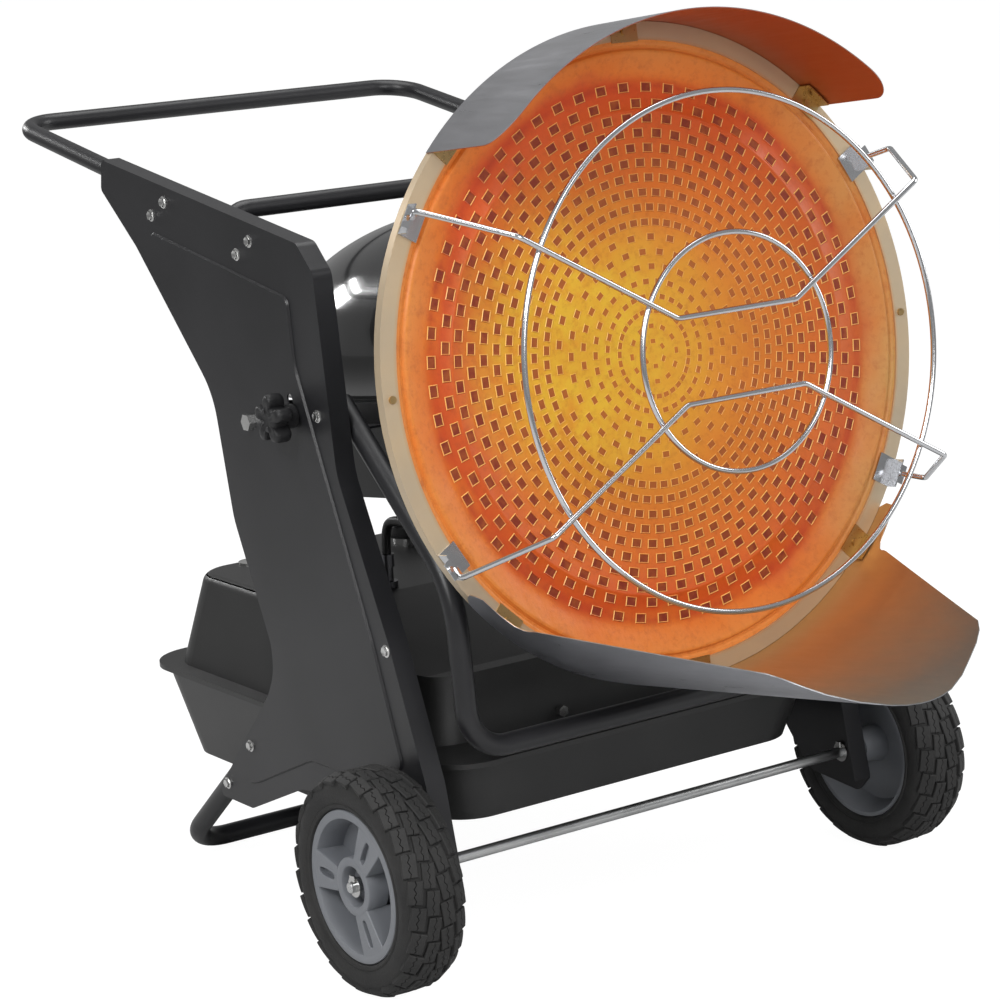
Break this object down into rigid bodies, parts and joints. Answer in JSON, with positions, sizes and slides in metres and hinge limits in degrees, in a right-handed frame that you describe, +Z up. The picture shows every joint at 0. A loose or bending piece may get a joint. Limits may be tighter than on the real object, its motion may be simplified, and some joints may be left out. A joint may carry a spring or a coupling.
{
  "type": "radiant kerosene heater",
  "caption": "Portable oil-fired radiant heater on a two-wheeled cart: round perforated emitter with wire guard and deflectors, fuel tank, tilting head and push handle.",
  "frame": {"origin": "centre of the bounding box at floor level", "axes": "-Y is the way the emitter faces, +X is to the right seen from the operator behind the handle, +Z up"},
  "size_m": [0.806, 1.3883, 1.0515],
  "materials": {
    "black_steel": "satin",
    "zinc_steel": "gloss",
    "tyre_rubber": "matte",
    "grey_plastic": "matte",
    "bush_steel": "satin",
    "black_plastic": "matte",
    "brass": "satin",
    "gauge_chrome": "gloss",
    "orange_plate": "satin",
    "tan_steel": "satin",
    "pan_steel": "satin",
    "gloss_black": "gloss",
    "aluminium": "satin",
    "dark_parts": "matte",
    "hose_rubber": "matte"
  },
  "bodies": {
    "chassis": {"left_side_panel": "black_steel", "right_side_panel": "black_steel", "handle_tube": "black_steel", "upper_crossbar": "black_steel", "crossbar_brackets": "black_steel", "front_tube": "black_steel", "foot_tube": "black_steel", "front_tube_spacers": "zinc_steel", "axle": "zinc_steel", "axle_spacers": "zinc_steel", "axle_washers": "zinc_steel", "split_pins": "zinc_steel", "tank_upper_shell": "black_steel", "tank_lower_shell": "black_steel", "filler_neck": "zinc_steel", "fuel_gauge": "gauge_chrome", "drain_plug": "zinc_steel", "tank_brackets": "black_steel", "fuel_outlet": "brass", "pickup_tube": "brass", "panel_screws": "zinc_steel", "pivot_bolts": "zinc_steel", "fuel_hose": "hose_rubber"},
    "heater_head": {"emitter_ring": "tan_steel", "emitter_plate": "orange_plate", "back_pan": "pan_steel", "flame_baffle": "pan_steel", "flame_tube": "pan_steel", "burner_cover": "gloss_black", "cradle": "black_steel", "lower_housing": "black_steel", "fan_motor": "aluminium", "motor_plate": "black_steel", "nozzle": "brass", "electrodes": "dark_parts", "fuel_pump": "aluminium", "ignition_transformer": "dark_parts", "control_box": "black_plastic", "top_deflector": "pan_steel", "bottom_deflector": "pan_steel", "guard_large_ring": "zinc_steel", "guard_small_ring": "zinc_steel", "guard_upper_wire": "zinc_steel", "guard_lower_wire": "zinc_steel", "guard_clips": "zinc_steel", "deflector_tabs": "zinc_steel", "rim_screws": "zinc_steel"},
    "blower": {"fan_wheel": "aluminium"},
    "left_wheel": {"left_tyre": "tyre_rubber", "left_wheel_hub": "grey_plastic", "left_wheel_bush": "bush_steel"},
    "right_wheel": {"right_tyre": "tyre_rubber", "right_wheel_hub": "grey_plastic", "right_wheel_bush": "bush_steel"},
    "left_tilt_knob": {"left_knob": "black_plastic"},
    "right_tilt_knob": {"right_knob": "black_plastic"},
    "filler_cap": {"fuel_cap": "black_plastic"},
    "switch": {"power_switch": "black_plastic"},
    "thermostat": {"thermostat_dial": "black_plastic"}
  },
  "joints": [
    {"name": "heater_tilt", "type": "hinge", "parent": "chassis", "child": "heater_head", "pos_m": [0, 0.09775, 0.598], "axis": [-1, 0, 0], "range_deg": [-3, 12], "deforming": ["fuel_hose"]},
    {"name": "left_wheel_spin", "type": "hinge", "parent": "chassis", "child": "left_wheel", "pos_m": [-0.365, -0.19925, 0.127], "axis": [1, 0, 0], "continuous": true},
    {"name": "right_wheel_spin", "type": "hinge", "parent": "chassis", "child": "right_wheel", "pos_m": [0.365, -0.19925, 0.127], "axis": [1, 0, 0], "continuous": true},
    {"name": "left_knob_turn", "type": "hinge", "parent": "heater_head", "child": "left_tilt_knob", "pos_m": [-0.33, 0.00175, 0.616], "axis": [-1, 0, 0], "continuous": true},
    {"name": "right_knob_turn", "type": "hinge", "parent": "heater_head", "child": "right_tilt_knob", "pos_m": [0.33, 0.00175, 0.616], "axis": [1, 0, 0], "continuous": true},
    {"name": "fan_spin", "type": "hinge", "parent": "heater_head", "child": "blower", "pos_m": [0, 0.06497, 0.63264], "axis": [0, -0.9937, 0.1123], "continuous": true},
    {"name": "fuel_cap_turn", "type": "hinge", "parent": "chassis", "child": "filler_cap", "pos_m": [0.06, 0.36075, 0.36], "axis": [0, 0, 1], "range_deg": [0, 120]},
    {"name": "power_switch_rock", "type": "hinge", "parent": "heater_head", "child": "switch", "pos_m": [-0.05, 0.18965, 0.532], "axis": [1, 0, 0], "range_deg": [0, 20]},
    {"name": "thermostat_turn", "type": "hinge", "parent": "heater_head", "child": "thermostat", "pos_m": [0.045, 0.18945, 0.53202], "axis": [0, -0.9937, 0.1123], "range_deg": [0, 270]}
  ]
}
